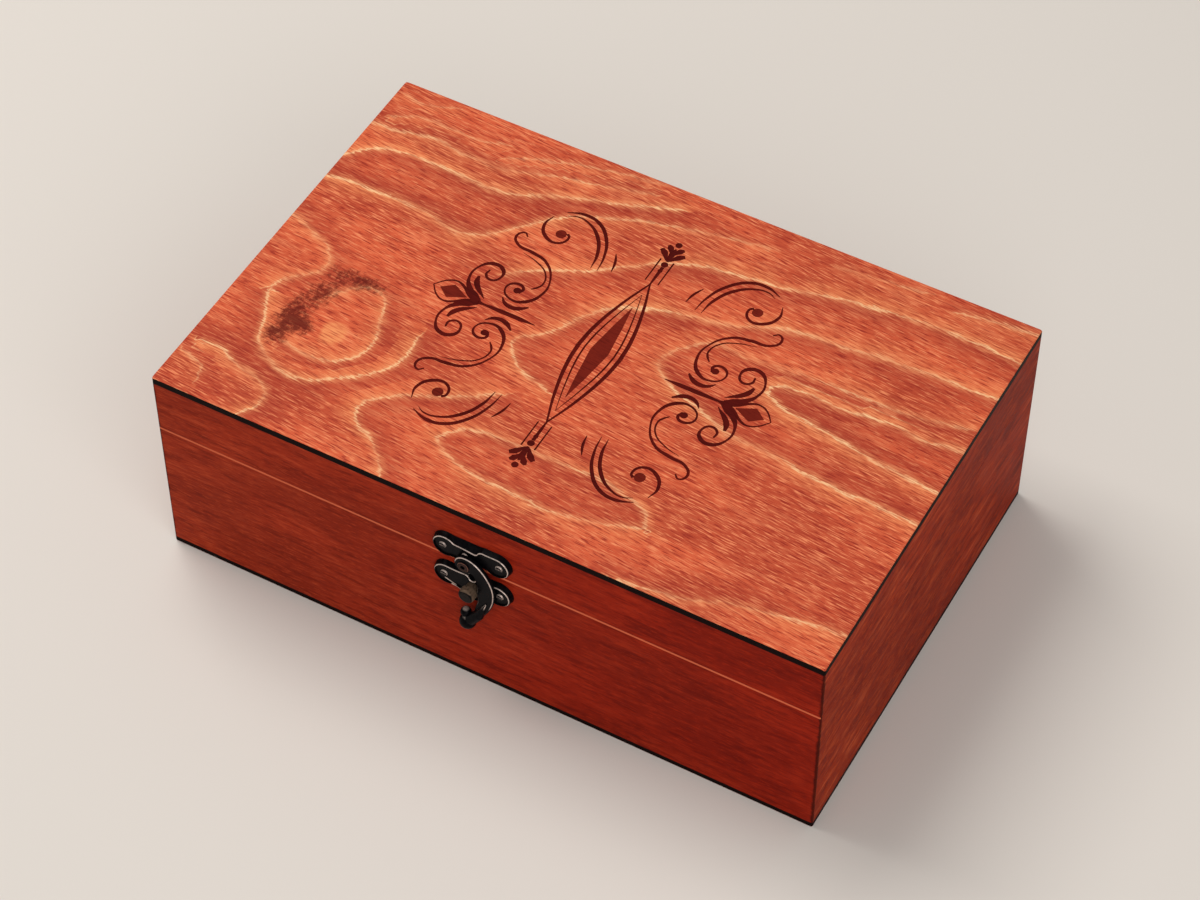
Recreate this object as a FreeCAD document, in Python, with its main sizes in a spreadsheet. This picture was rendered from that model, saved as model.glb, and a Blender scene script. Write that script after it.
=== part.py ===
# A stained wooden keepsake box: a mitred case, a mitred lid under a thin plywood panel, two butt
# hinges at the back, and a small cast latch with a swinging hook on the front.
# Millimetres. X runs along the front to the right, the front face looks along -Y, Z is up, and the
# origin is the middle of the underside.
import FreeCAD, Part

import math
import os
import re

import Sketcher

from FreeCAD import Placement, Rotation, Vector

# The driving dimensions, in mm. Each one is a named cell of the sheet.
DIMENSIONS = {
    # The wooden case and lid
    "box_length": 260,
    "box_width": 170,
    "box_height": 89,
    "lid_height": 26,
    "seam_gap": 0.2,
    "wall": 8,
    "lid_panel_thickness": 3,
    "bottom_panel_thickness": 2.5,
    "corner_ease": 0.8,
    "panel_ease": 0.5,
    "case_arris": 0.6,
    "lid_arris": 0.4,
    # The two latch plates, from the middle of the front and from the seam
    "latch_shift": -1.6,
    "plate_thickness": 2.3,
    "plate_draft": 0.5,
    "rim_width": 0.7,
    "rim_height": 0.5,
    "rim_ease": 0.45,
    "lid_plate_span": 20,
    "lid_plate_lobe": 4.9,
    "lid_plate_rise": 6.9,
    "lid_plate_dip": 1.9,
    "lid_plate_dip_shift": -2,
    "lid_plate_dip_tilt": 6,
    "lid_plate_bow": 60,
    "lid_plate_bend": 1.2,
    "lid_plate_back_dip": 0.3,
    "lid_plate_back_bend": 9,
    "lid_plate_shoulder": 2.5,
    "lid_plate_shoulder_reach": 5,
    "lid_plate_screws": 22,
    "case_plate_span": 20.4,
    "case_plate_lobe": 4.8,
    "case_plate_drop": 8.2,
    "case_plate_notch": 2.2,
    "case_plate_belly": 5.2,
    "case_plate_belly_drop": 1.7,
    "case_plate_shoulder": 1.9,
    "case_plate_shoulder_span": 5.8,
    "case_plate_bow": 40,
    "case_plate_screws": 22,
    "plate_hollow": 4.9,
    # The hook, its rivet and the knob that it goes round
    "pivot_shift": -1.7,
    "pivot_rise": 2.9,
    "pivot_lobe": 2.4,
    "hook_head": 3.8,
    "hook_drop": 29,
    "hook_gap": 0.35,
    "hook_thickness": 1.4,
    "hook_round": 0.5,
    "hook_ball": 3.1,
    "hook_curl": 2,
    "hook_flank": 3.8,
    "hook_flank_bow": 0.15,
    "arm_start": 0.4,
    "arm_elbow": 1.9,
    "arm_end": 2.5,
    "rivet_radius": 1.5,
    "rivet_fit": 0.05,
    "rivet_head": 2.3,
    "rivet_head_thickness": 0.5,
    "rivet_head_gap": 0.1,
    "rivet_bore": 0.9,
    "knob_shift": 0.4,
    "knob_drop": 9.1,
    "knob_post": 2.3,
    "knob_tenon": 1.4,
    "knob_head": 3,
    "knob_head_thickness": 3,
    "knob_reach": 7.3,
    "knob_round": 1,
    "pin_shift": -2.3,
    "pin_rise": 5.9,
    "pin_head": 1.2,
    # Latch screws and the seats that hold them
    "screw_radius": 0.7,
    "screw_head": 1.4,
    "screw_head_height": 0.5,
    "screw_length": 7,
    "pilot_spare": 0.5,
    "screw_slot": 0.4,
    "slot_depth": 0.3,
    "seat_fit": 0.02,
    # The two hinges
    "hinge_inset": 45,
    "hinge_length": 28,
    "leaf_height": 11,
    "leaf_thickness": 0.8,
    "barrel_radius": 1.5,
    "barrel_gap": 0.3,
    "hinge_pin_radius": 0.75,
    "hinge_pin_fit": 0.04,
    "hinge_pin_end": 0.3,
    "knuckle_gap": 0.2,
    "hinge_screw_spacing": 18,
    "hinge_screw_radius": 0.9,
    "hinge_screw_head": 1.7,
    "hinge_screw_length": 6.5,
}

doc = FreeCAD.newDocument("KeepsakeBox")
sheet = doc.addObject("Spreadsheet::Sheet", "Dimensions")
for line, (alias, length) in enumerate(DIMENSIONS.items(), start=1):
    sheet.set(f"A{line}", alias.replace("_", " "))
    sheet.set(f"B{line}", str(length))
    sheet.setAlias(f"B{line}", alias)
doc.recompute()


def cells(text):
    """The expression, with each dimension in it written as a cell of the sheet."""
    return re.sub(r"[a-z_]+", lambda word: "Dimensions." * (word[0] in DIMENSIONS) + word[0], text)


def mm(text):
    """The expression's number now, in mm."""
    return float(sheet.evalExpression(cells(text)))


# Heights and depths that several pieces share
CASE_RIM = "box_height - lid_height - seam_gap"
LID_EDGE = "box_height - lid_height"
FRONT = "-box_width / 2"
BACK = "box_width / 2"
HINGE_HEIGHT = "box_height - lid_height - seam_gap / 2"
HINGE_REACH = "box_width / 2 + barrel_gap + barrel_radius"
FIELD = "plate_thickness - rim_height"
HOOK_BACK = "plate_thickness + hook_gap"

SUBPARTS = []


def place(obj, x="0", y="0", z="0", turn=0):
    """Binds the object's place, after a turn about Z in degrees, and lists it as a piece of the box."""
    obj.Placement = Placement(Vector(mm(x), mm(y), mm(z)), Rotation(Vector(0, 0, 1), turn))
    for axis, text in zip("xyz", (x, y, z)):
        obj.setExpression(f"Placement.Base.{axis}", cells(text))
    SUBPARTS.append(obj)
    return obj


def new_body(label):
    body = doc.addObject("PartDesign::Body", label)
    body.Label = label
    return body


def new_sketch(body, name, role, lift="0"):
    """A sketch on one of the body's own planes, lifted along the plane's normal."""
    sketch = body.newObject("Sketcher::SketchObject", name)
    plane = next(part for part in body.Origin.OriginFeatures if part.Role == role)
    sketch.AttachmentSupport = [(plane, "")]
    sketch.MapMode = "FlatFace"
    sketch.setExpression("AttachmentOffset.Base.z", cells(lift))
    return sketch


def pin(sketch, edge, end, direction, text):
    """Ties a point of the sketch to the origin by a bound distance."""
    tie = sketch.addConstraint(Sketcher.Constraint(direction, -1, 1, edge, end, mm(text)))
    sketch.setExpression(f"Constraints[{tie}]", cells(text))


def draw(sketch, corners, centres=None):
    """Closes an outline through bound corners. centres holds, by the number of the edge, the
    centre of an edge that is an arc, taken the short way round."""
    centres = centres or {}
    points = [Vector(mm(x), mm(y), 0) for x, y in corners]
    ends = []
    spare = {}
    for number, start in enumerate(points):
        following = (number + 1) % len(points)
        end = points[following]
        if number not in centres:
            sketch.addGeometry(Part.LineSegment(start, end), False)
            ends.append((1, 2))
            continue
        centre = Vector(mm(centres[number][0]), mm(centres[number][1]), 0)
        first, last = start - centre, end - centre
        angles = [math.atan2(first.y, first.x), math.atan2(last.y, last.x)]
        left_turn = (angles[1] - angles[0]) % (2 * math.pi) < math.pi
        circle = Part.Circle(centre, Vector(0, 0, 1), first.Length)
        sketch.addGeometry(Part.ArcOfCircle(circle, *(angles if left_turn else angles[::-1])), False)
        ends.append((1, 2) if left_turn else (2, 1))
        spare[following] = "DistanceX" if abs(last.x) > abs(last.y) else "DistanceY"
    for number in range(len(points)):
        following = (number + 1) % len(points)
        joint = (number, ends[number][1], following, ends[following][0])
        sketch.addConstraint(Sketcher.Constraint("Coincident", *joint))
    for number, (x, y) in enumerate(corners):
        for direction, text in (("DistanceX", x), ("DistanceY", y)):
            if spare.get(number) != direction:
                pin(sketch, number, ends[number][0], direction, text)
        if number in centres:
            pin(sketch, number, 3, "DistanceX", centres[number][0])
            pin(sketch, number, 3, "DistanceY", centres[number][1])


def draw_circles(sketch, centres, radius):
    for number, (x, y) in enumerate(centres):
        sketch.addGeometry(Part.Circle(Vector(mm(x), mm(y), 0), Vector(0, 0, 1), mm(radius)), False)
        pin(sketch, number, 3, "DistanceX", x)
        pin(sketch, number, 3, "DistanceY", y)
        width = sketch.addConstraint(Sketcher.Constraint("Radius", number, mm(radius)))
        sketch.setExpression(f"Constraints[{width}]", cells(radius))


def pad(body, sketch, length):
    feature = body.newObject("PartDesign::Pad", "Pad")
    feature.Profile = sketch
    feature.setExpression("Length", cells(length))
    body.Tip = feature
    return feature


def drill(body, centres, radius, depth):
    """Blind holes into the body from its own XZ plane, along +Y. The volume shows that they cut."""
    doc.recompute()
    before = body.Shape.Volume
    sketch = new_sketch(body, "Holes", "XZ_Plane")
    draw_circles(sketch, centres, radius)
    feature = body.newObject("PartDesign::Pocket", "Pocket")
    feature.Profile = sketch
    feature.setExpression("Length", cells(depth))
    body.Tip = feature
    doc.recompute()
    cut = before - body.Shape.Volume
    wanted = len(centres) * math.pi * mm(radius) ** 2 * mm(depth)
    if abs(cut - wanted) > 0.01 * wanted:
        raise RuntimeError(f"{body.Label}: the holes cut {cut:.2f} mm3 and not {wanted:.2f}")


def edges_at(shape, test):
    """The names of the shape's edges whose middle and direction pass the test."""
    names = []
    for number, edge in enumerate(shape.Edges, start=1):
        middle = edge.valueAt((edge.FirstParameter + edge.LastParameter) / 2)
        along = edge.Vertexes[-1].Point - edge.Vertexes[0].Point
        if test(middle, along):
            names.append(f"Edge{number}")
    return names


def round_edges(body, radius, test):
    doc.recompute()
    base = body.Tip
    feature = body.newObject("PartDesign::Fillet", "Fillet")
    feature.Base = (base, edges_at(base.Shape, test))
    feature.setExpression("Radius", cells(radius))
    body.Tip = feature
    return feature


# The eight walls and rails. Each is a board mitred at both ends, drawn from the middle of its
# outside lower edge: X along the board, Y into the box.
EASE_STEP = f"corner_ease * {1 - math.sqrt(0.5):.6f}"


def board(label, length, height, arris, arris_on_top):
    """A mitred board with its outer corners eased, and its outer edge at the seam rounded."""
    body = new_body(label)
    half = f"({length}) / 2"
    corners = [
        (f"-{half} + corner_ease", "0"),
        (f"{half} - corner_ease", "0"),
        (f"{half} - {EASE_STEP}", EASE_STEP),
        (f"{half} - wall", "wall"),
        (f"-{half} + wall", "wall"),
        (f"-{half} + {EASE_STEP}", EASE_STEP),
    ]
    centres = {1: (f"{half} - corner_ease", "corner_ease"), 5: (f"-{half} + corner_ease", "corner_ease")}
    sketch = new_sketch(body, "Plan", "XY_Plane")
    draw(sketch, corners, centres)
    pad(body, sketch, height)
    if arris:
        level = mm(height) if arris_on_top else 0.0
        round_edges(body, arris, lambda at, along: abs(at.y) < 1e-6 and abs(at.z - level) < 1e-6)
    return body


CASE_FLOOR = "bottom_panel_thickness"
CASE_WALL = f"({CASE_RIM}) - bottom_panel_thickness"
LID_RAIL = "lid_height - lid_panel_thickness"

front_wall = board("front_wall", "box_length", CASE_WALL, "case_arris", True)
drill(
    front_wall,
    [
        (f"latch_shift + {side} * case_plate_screws / 2", f"({CASE_WALL}) - case_plate_drop")
        for side in (-1, 1)
    ],
    "screw_radius + seat_fit",
    "screw_length - (plate_thickness - rim_height) + pilot_spare",
)
place(front_wall, y=FRONT, z=CASE_FLOOR)

lid_front_rail = board("lid_front_rail", "box_length", LID_RAIL, "lid_arris", False)
drill(
    lid_front_rail,
    [(f"latch_shift + {side} * lid_plate_screws / 2", "lid_plate_rise") for side in (-1, 1)],
    "screw_radius + seat_fit",
    "screw_length - (plate_thickness - rim_height) + pilot_spare",
)
place(lid_front_rail, y=FRONT, z=LID_EDGE)

HINGE_SCREW_RISE = "(leaf_height + barrel_radius + barrel_gap) / 2"
HINGE_MIDDLE = "(box_length / 2 - hinge_inset)"
HINGE_SCREW_PLACES = [
    f"{hinge} * {HINGE_MIDDLE} + {side} * hinge_screw_spacing / 2" for hinge in (-1, 1) for side in (-1, 1)
]

back_wall = board("back_wall", "box_length", CASE_WALL, None, True)
drill(
    back_wall,
    [(x, f"({CASE_WALL}) + seam_gap / 2 - {HINGE_SCREW_RISE}") for x in HINGE_SCREW_PLACES],
    "hinge_screw_radius + seat_fit",
    "hinge_screw_length - leaf_thickness + pilot_spare",
)
place(back_wall, y=BACK, z=CASE_FLOOR, turn=180)

lid_back_rail = board("lid_back_rail", "box_length", LID_RAIL, None, False)
drill(
    lid_back_rail,
    [(x, f"{HINGE_SCREW_RISE} - seam_gap / 2") for x in HINGE_SCREW_PLACES],
    "hinge_screw_radius + seat_fit",
    "hinge_screw_length - leaf_thickness + pilot_spare",
)
place(lid_back_rail, y=BACK, z=LID_EDGE, turn=180)

for side, turn, x in (("left", 270, "-box_length / 2"), ("right", 90, "box_length / 2")):
    place(board(f"{side}_wall", "box_width", CASE_WALL, None, True), x=x, z=CASE_FLOOR, turn=turn)
    place(board(f"lid_{side}_rail", "box_width", LID_RAIL, None, False), x=x, z=LID_EDGE, turn=turn)


# The two plywood panels: the bottom under the walls, and the lid's top on its rails.
def panel(label, thickness, eased_level):
    """A rectangular sheet with eased corners, and the edges round one of its faces eased."""
    body = new_body(label)
    across, along = "box_length / 2", "box_width / 2"
    sketch = new_sketch(body, "Plan", "XY_Plane")
    corners = [(f"-{across}", f"-{along}"), (across, f"-{along}"), (across, along), (f"-{across}", along)]
    draw(sketch, corners)
    pad(body, sketch, thickness)
    round_edges(body, "corner_ease", lambda at, along: abs(along.z) > 1e-6)
    level = mm(thickness) if eased_level == "top" else 0.0
    round_edges(body, "panel_ease", lambda at, along: abs(at.z - level) < 1e-6)
    return body


place(panel("bottom_panel", "bottom_panel_thickness", "bottom"))
place(panel("lid_panel", "lid_panel_thickness", "top"), z="box_height - lid_panel_thickness")


# The latch plates are castings with round lobes, drafted sides and a raised rim. Their outlines
# are circles joined by hollow arcs, seen from the front: X to the right and Z up.
def hollow(first, second, radius):
    """The centre of the hollow arc between two lobes, on the right of the way from one to the other."""
    (ax, az, ar), (bx, bz, br) = first, second
    gap = math.hypot(bx - ax, bz - az)
    from_first, from_second = ar + radius, br + radius
    along = (from_first**2 - from_second**2 + gap**2) / (2 * gap)
    aside = math.sqrt(from_first**2 - along**2)
    ux, uz = (bx - ax) / gap, (bz - az) / gap
    return ax + along * ux + aside * uz, az + along * uz - aside * ux


def arc_about(centre, radius, start, turn, y):
    """An arc from the start angle, turned anticlockwise by a positive turn."""
    steps = [start, start + turn / 2, start + turn]
    points = [Vector(centre[0] + radius * math.cos(a), y, centre[1] + radius * math.sin(a)) for a in steps]
    return Part.Arc(*points).toShape()


def lobed_wire(lobes, hollows, inset, y):
    """The outline of a plate, set in from its edge, in the plane at y. lobes go round anticlockwise."""
    count = len(lobes)
    centres = [hollow(lobes[i], lobes[(i + 1) % count], hollows[i]) for i in range(count)]
    full = 2 * math.pi
    edges = []
    for i, (x, z, radius) in enumerate(lobes):
        before, after = centres[i - 1], centres[i]
        enter = math.atan2(before[1] - z, before[0] - x)
        leave = math.atan2(after[1] - z, after[0] - x)
        edges.append(arc_about((x, z), radius - inset, enter, (leave - enter) % full, y))
        nx, nz, _ = lobes[(i + 1) % count]
        begin = math.atan2(z - after[1], x - after[0])
        finish = math.atan2(nz - after[1], nx - after[0])
        edges.append(arc_about(after, hollows[i] + inset, begin, -((begin - finish) % full), y))
    return Part.Wire(edges)


def disc(x, z, radius, near, far):
    """A cylinder along Y, from the near plane to the far one, in front of the face at y = 0."""
    return Part.makeCylinder(radius, far - near, Vector(x, -far, z), Vector(0, 1, 0))


def cast_plate(label, back, front, holes):
    """A plate on the face at y = 0: drafted from its back outline to its front one, eased round
    its front edge, hollowed inside its rim, and drilled."""
    thickness, draft = mm("plate_thickness"), mm("plate_draft")
    ease = mm("rim_ease")
    sections = [lobed_wire(*back, -draft, 0), lobed_wire(*front, 0, ease - thickness)]
    sections.append(lobed_wire(*front, ease, -thickness))
    plate = Part.makeLoft(sections, True, True)
    field = Part.Face(lobed_wire(*front, mm("rim_width"), -thickness))
    plate = plate.cut(field.extrude(Vector(0, mm("rim_height"), 0)))
    for x, z, radius in holes:
        plate = plate.cut(disc(x, z, radius, -1, thickness + 1))
    piece = doc.addObject("Part::Feature", label)
    piece.Label = label
    piece.Shape = plate
    return piece


seat_fit = mm("seat_fit")
screw_hole = mm("screw_radius") + seat_fit

# The upper plate, drawn from the middle between its end lobes. Its back edge runs almost straight
# across, while its front rim dips between two sharp bends, and slopes down to the shoulder of the
# right lobe. A small lobe below holds the hook's rivet.
half, lobe = mm("lid_plate_span") / 2, mm("lid_plate_lobe")
pivot = (mm("pivot_shift"), mm("pivot_rise - lid_plate_rise"))
pin_at = (mm("pin_shift"), mm("pin_rise - lid_plate_rise"))
plate_hollow = mm("plate_hollow")


def lid_plate_outline(dip, tilt, bend):
    """The lobes and hollows with the top this far under the lobes, and turned by tilt in degrees."""
    bow, shoulder = mm("lid_plate_bow"), mm("lid_plate_shoulder")
    lean = math.radians(tilt)
    lobes = [
        (-half, 0, lobe),
        (*pivot, mm("pivot_lobe")),
        (half, 0, lobe),
        (half - mm("lid_plate_shoulder_reach"), lobe - shoulder, shoulder),
        (mm("lid_plate_dip_shift") - bow * math.sin(lean), lobe - dip - bow * math.cos(lean), bow),
    ]
    return lobes, [plate_hollow, plate_hollow, bow, bend, bend]


latch_plate = cast_plate(
    "latch_plate",
    lid_plate_outline(mm("lid_plate_back_dip"), 0, mm("lid_plate_back_bend")),
    lid_plate_outline(mm("lid_plate_dip"), mm("lid_plate_dip_tilt"), mm("lid_plate_bend")),
    [(side * mm("lid_plate_screws") / 2, 0, screw_hole) for side in (-1, 1)]
    + [(*pivot, mm("rivet_radius") + seat_fit), (*pin_at, screw_hole)],
)
place(latch_plate, x="latch_shift", y=FRONT, z=f"{LID_EDGE} + lid_plate_rise")

# The lower plate: two end lobes, a belly under the knob, and a notch between two small shoulders.
half, lobe = mm("case_plate_span") / 2, mm("case_plate_lobe")
knob = (mm("knob_shift"), mm("case_plate_drop - knob_drop"))
shoulder, notch, bow = mm("case_plate_shoulder"), mm("case_plate_notch") / 2, mm("case_plate_bow")
shoulders = [(knob[0] + side * mm("case_plate_shoulder_span") / 2, lobe - shoulder) for side in (1, -1)]
case_lobes = [
    (-half, 0, lobe),
    (knob[0], knob[1] - mm("case_plate_belly_drop"), mm("case_plate_belly")),
    (half, 0, lobe),
    *[(*middle, shoulder) for middle in shoulders],
]
case_outline = (case_lobes, [plate_hollow, plate_hollow, bow, notch, bow])
catch_plate = cast_plate(
    "catch_plate",
    case_outline,
    case_outline,
    [(side * mm("case_plate_screws") / 2, 0, screw_hole) for side in (-1, 1)]
    + [(*knob, mm("knob_tenon") + seat_fit)],
)
place(catch_plate, x="latch_shift", y=FRONT, z=f"{CASE_RIM} - case_plate_drop")


# Turned pieces: a half outline in the body's XY plane, turned about Y. Y = 0 is the face that the
# piece stands on, and the piece comes forward along -Y.
def turned(label, corners, centres=None):
    body = new_body(label)
    sketch = new_sketch(body, "Profile", "XY_Plane")
    draw(sketch, corners, centres)
    feature = body.newObject("PartDesign::Revolution", "Revolution")
    feature.Profile = sketch
    feature.ReferenceAxis = (sketch, ["V_Axis"])
    feature.Angle = 360
    body.Tip = feature
    return body


# The knob: a post riveted through the plate, and a head that keeps the hook from lifting off.
KNOB_BACK = "knob_reach - knob_head_thickness"
catch_knob = turned(
    "catch_knob",
    [
        ("0", "0"),
        ("knob_tenon", "0"),
        ("knob_tenon", f"-({FIELD})"),
        ("knob_post", f"-({FIELD})"),
        ("knob_post", f"-({KNOB_BACK})"),
        ("knob_head", f"-({KNOB_BACK})"),
        ("knob_head", "-(knob_reach - knob_round)"),
        ("knob_head - knob_round", "-knob_reach"),
        ("0", "-knob_reach"),
    ],
    {6: ("knob_head - knob_round", "-(knob_reach - knob_round)")},
)
place(
    catch_knob,
    x="latch_shift + knob_shift",
    y=FRONT,
    z=f"{CASE_RIM} - knob_drop",
)

# The rivet: a tube with a rolled front edge, fixed in the plate. The hook turns on it.
HOOK_FRONT = f"{HOOK_BACK} + hook_thickness"
RIVET_FRONT = f"{HOOK_FRONT} + rivet_head_gap + rivet_head_thickness"
hook_rivet = turned(
    "hook_rivet",
    [
        ("0", "0"),
        ("rivet_radius", "0"),
        ("rivet_radius", f"-({HOOK_FRONT} + rivet_head_gap)"),
        ("rivet_head", f"-({HOOK_FRONT} + rivet_head_gap)"),
        ("rivet_head - rivet_head_thickness", f"-({RIVET_FRONT})"),
        ("rivet_bore", f"-({RIVET_FRONT})"),
        ("rivet_bore", f"-({HOOK_BACK})"),
        ("0", f"-({HOOK_BACK})"),
    ],
    {3: ("rivet_head - rivet_head_thickness", f"-({HOOK_FRONT} + rivet_head_gap)")},
)
place(
    hook_rivet,
    x="latch_shift + pivot_shift",
    y=FRONT,
    z=f"{LID_EDGE} + pivot_rise",
)

# The small pin in the upper plate.
latch_plate_pin = turned(
    "latch_plate_pin",
    [
        ("0", "0"),
        ("screw_radius", "0"),
        ("screw_radius", f"-({FIELD})"),
        ("pin_head", f"-({FIELD})"),
        ("pin_head - rim_height / 2", "-plate_thickness"),
        ("0", "-plate_thickness"),
    ],
)
place(
    latch_plate_pin,
    x="latch_shift + pin_shift",
    y=FRONT,
    z=f"{LID_EDGE} + pin_rise",
)


def screw_pair(label, spacing, radius, head, height, length, sunk):
    """Two slotted screws side by side, from the plane under a pan head or over a sunk one."""
    if sunk:
        corners = [("0", "0"), (head, "0"), (radius, height)]
    else:
        corners = [("0", f"-{height}"), (f"{head} - {height} / 2", f"-{height}"), (head, "0"), (radius, "0")]
    corners += [(radius, f"{length} - {radius}"), ("0", length)]
    body = turned(label, corners)
    shank = body.Tip
    doc.recompute()
    before = body.Shape.Volume
    across, along = f"{head} + 1", "screw_slot / 2"
    sketch = new_sketch(body, "Slot", "XZ_Plane", "0" if sunk else height)
    sides = [(f"-({across})", f"-{along}"), (across, f"-{along}"), (across, along), (f"-({across})", along)]
    draw(sketch, sides)
    slot = body.newObject("PartDesign::Pocket", "SlotCut")
    slot.Profile = sketch
    slot.setExpression("Length", cells("slot_depth"))
    body.Tip = slot
    doc.recompute()
    if not body.Shape.Volume < before:
        raise RuntimeError(f"{label}: the slot cuts nothing")
    pattern = body.newObject("PartDesign::LinearPattern", "Pair")
    pattern.Originals = [shank, slot]
    pattern.Direction = (sketch, ["H_Axis"])
    pattern.Occurrences = 2
    pattern.setExpression("Length", cells(spacing))
    body.Tip = pattern
    return body


LATCH_SCREW = ("screw_radius", "screw_head", "screw_head_height", "screw_length")
place(
    screw_pair("latch_plate_screws", "lid_plate_screws", *LATCH_SCREW, False),
    x="latch_shift - lid_plate_screws / 2",
    y=f"{FRONT} - ({FIELD})",
    z=f"{LID_EDGE} + lid_plate_rise",
)
place(
    screw_pair("catch_plate_screws", "case_plate_screws", *LATCH_SCREW, False),
    x="latch_shift - case_plate_screws / 2",
    y=f"{FRONT} - ({FIELD})",
    z=f"{CASE_RIM} - case_plate_drop",
)


# The hook is a casting: a round head on the rivet, a crescent arm that lies against the knob's
# post, and a ball with a small curl for a finger. Its outline is one smooth curve through points
# measured from the rivet, seen from the front, X to the right and Z up.
OUTLINE_TOLERANCE = 0.05  # how near the hook's arcs keep to its curve, mm
DRAWN_DROP = 29  # how far the ball is under the rivet on the hook that the points are drawn for, mm


def scaled(points):
    """Points of the drawn hook, at the hook's own size."""
    return [(x * mm("hook_drop") / DRAWN_DROP, z * mm("hook_drop") / DRAWN_DROP) for x, z in points]


def on_head(degrees):
    return head_radius * math.cos(math.radians(degrees)), head_radius * math.sin(math.radians(degrees))


def swelling(y, sections):
    """Cones through the sections, each one a place and a radius, with a sphere at all but the last."""
    solids = []
    for ((x, z), first), ((nx, nz), last) in zip(sections, sections[1:]):
        way = Vector(nx - x, 0, nz - z)
        solids.append(Part.makeSphere(first, Vector(x, y, z)))
        solids.append(Part.makeCone(first, last, way.Length, Vector(x, y, z), way))
    return solids


head_radius = mm("hook_head")
ball, curl, elbow, arm_start = scaled([(0.9, -29), (-0.2, -25.5), (5.3, -23.4), (8.3, -15.8)])
flank, flank_bow = mm("hook_flank"), mm("hook_flank_bow")
post_x = mm("knob_shift - pivot_shift + knob_post + hook_gap")
post_z = -mm("pivot_rise + seam_gap + knob_drop")
outline = [on_head(degrees) for degrees in (-50, -95, -140, -180)]
outline += scaled([(-2.4, 3.4), (0.8, 4.6), (4.8, 3.3), (7.9, 0.2), (10.4, -4.2), (11.5, -9), (11.1, -14)])
outline += scaled([(9.5, -19), (7, -23.6), (4.6, -27.2), (2.4, -29.8), (0.6, -30.6), (-1, -29.2)])
outline += scaled([(-1.5, -27), (-1.3, -25), (-0.2, -24), (1.1, -24.6), (2.1, -25.2), (3.1, -23.6)])
outline += scaled([(3.9, -20)])
outline += [(post_x + flank_bow, post_z - flank), (post_x, post_z), (post_x + flank_bow, post_z + flank)]
outline += scaled([(4.2, -5.2)])
back, thick = mm(HOOK_BACK), mm("hook_thickness")
curve = Part.BSplineCurve()
curve.interpolate(Points=[Vector(x, -back, z) for x, z in outline], PeriodicFlag=True)
wire = Part.Wire([arc.toShape() for arc in curve.toBiArcs(OUTLINE_TOLERANCE)])
flat_hook = Part.Face(wire).extrude(Vector(0, -thick, 0))
front_edges = [edge for edge in flat_hook.Edges if abs(edge.BoundBox.YMax + back + thick) < 1e-3]
flat_hook = flat_hook.makeChamfer(mm("hook_round"), front_edges)
rounds = swelling(
    -back - thick,
    [(arm_start, mm("arm_start")), (elbow, mm("arm_elbow")), (ball, mm("arm_end"))],
)
rounds.append(Part.makeSphere(mm("hook_ball"), Vector(ball[0], -back - thick, ball[1])))
rounds.append(Part.makeSphere(mm("hook_curl"), Vector(curl[0], -back - thick / 2, curl[1])))
latch_hook = doc.addObject("Part::Feature", "latch_hook")
latch_hook.Label = "latch_hook"
latch_hook.Shape = (
    flat_hook.fuse(rounds)
    .cut(disc(0, 0, mm("rivet_radius + rivet_fit"), 0, back + 2 * thick))
    .removeSplitter()
)
place(
    latch_hook,
    x="latch_shift + pivot_shift",
    y=FRONT,
    z=f"{LID_EDGE} + pivot_rise",
)


# The hinges: two leaves of folded sheet and a pin each, with three knuckles on the pin's axis.
# They are drawn from the middle of the pin, X along it, with the box's back at -WALL_REACH.
WALL_REACH = "(barrel_gap + barrel_radius)"
OUTER, INNER = "hinge_length / 2", "hinge_length / 6"
CASE_KNUCKLES = [(f"-{OUTER}", f"-{INNER} - knuckle_gap / 2"), (f"{INNER} + knuckle_gap / 2", OUTER)]
LID_KNUCKLES = [(f"-{INNER} + knuckle_gap / 2", f"{INNER} - knuckle_gap / 2")]


def bind(obj, **texts):
    """Binds properties of a primitive; x, y and z are its place."""
    for name, text in texts.items():
        target = f"Placement.Base.{name}" if name in "xyz" else name
        obj.setExpression(target, cells(text))
    return obj


def rod(name, start, end, radius):
    """A cylinder along X on the pin's axis."""
    obj = doc.addObject("Part::Cylinder", name)
    obj.Placement = Placement(Vector(), Rotation(Vector(0, 1, 0), 90))
    return bind(obj, Radius=radius, Height=f"({end}) - ({start})", x=start)


def slab(name, start, end, low, high):
    """A piece of the leaf's sheet between two places along X and two heights."""
    obj = doc.addObject("Part::Box", name)
    spans = {"Length": f"({end}) - ({start})", "Width": "leaf_thickness", "Height": f"({high}) - ({low})"}
    return bind(obj, **spans, x=start, y=f"-{WALL_REACH}", z=low)


def countersink(name, x, z):
    """A screw hole through the leaf, wide at its outer face."""
    obj = doc.addObject("Part::Cone", name)
    radii = {"Radius1": "hinge_screw_radius + seat_fit", "Radius2": "hinge_screw_head + seat_fit"}
    obj.Placement = Placement(Vector(), Rotation(Vector(1, 0, 0), -90))
    return bind(obj, **radii, Height="leaf_thickness", x=x, y=f"-{WALL_REACH}", z=z)


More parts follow.
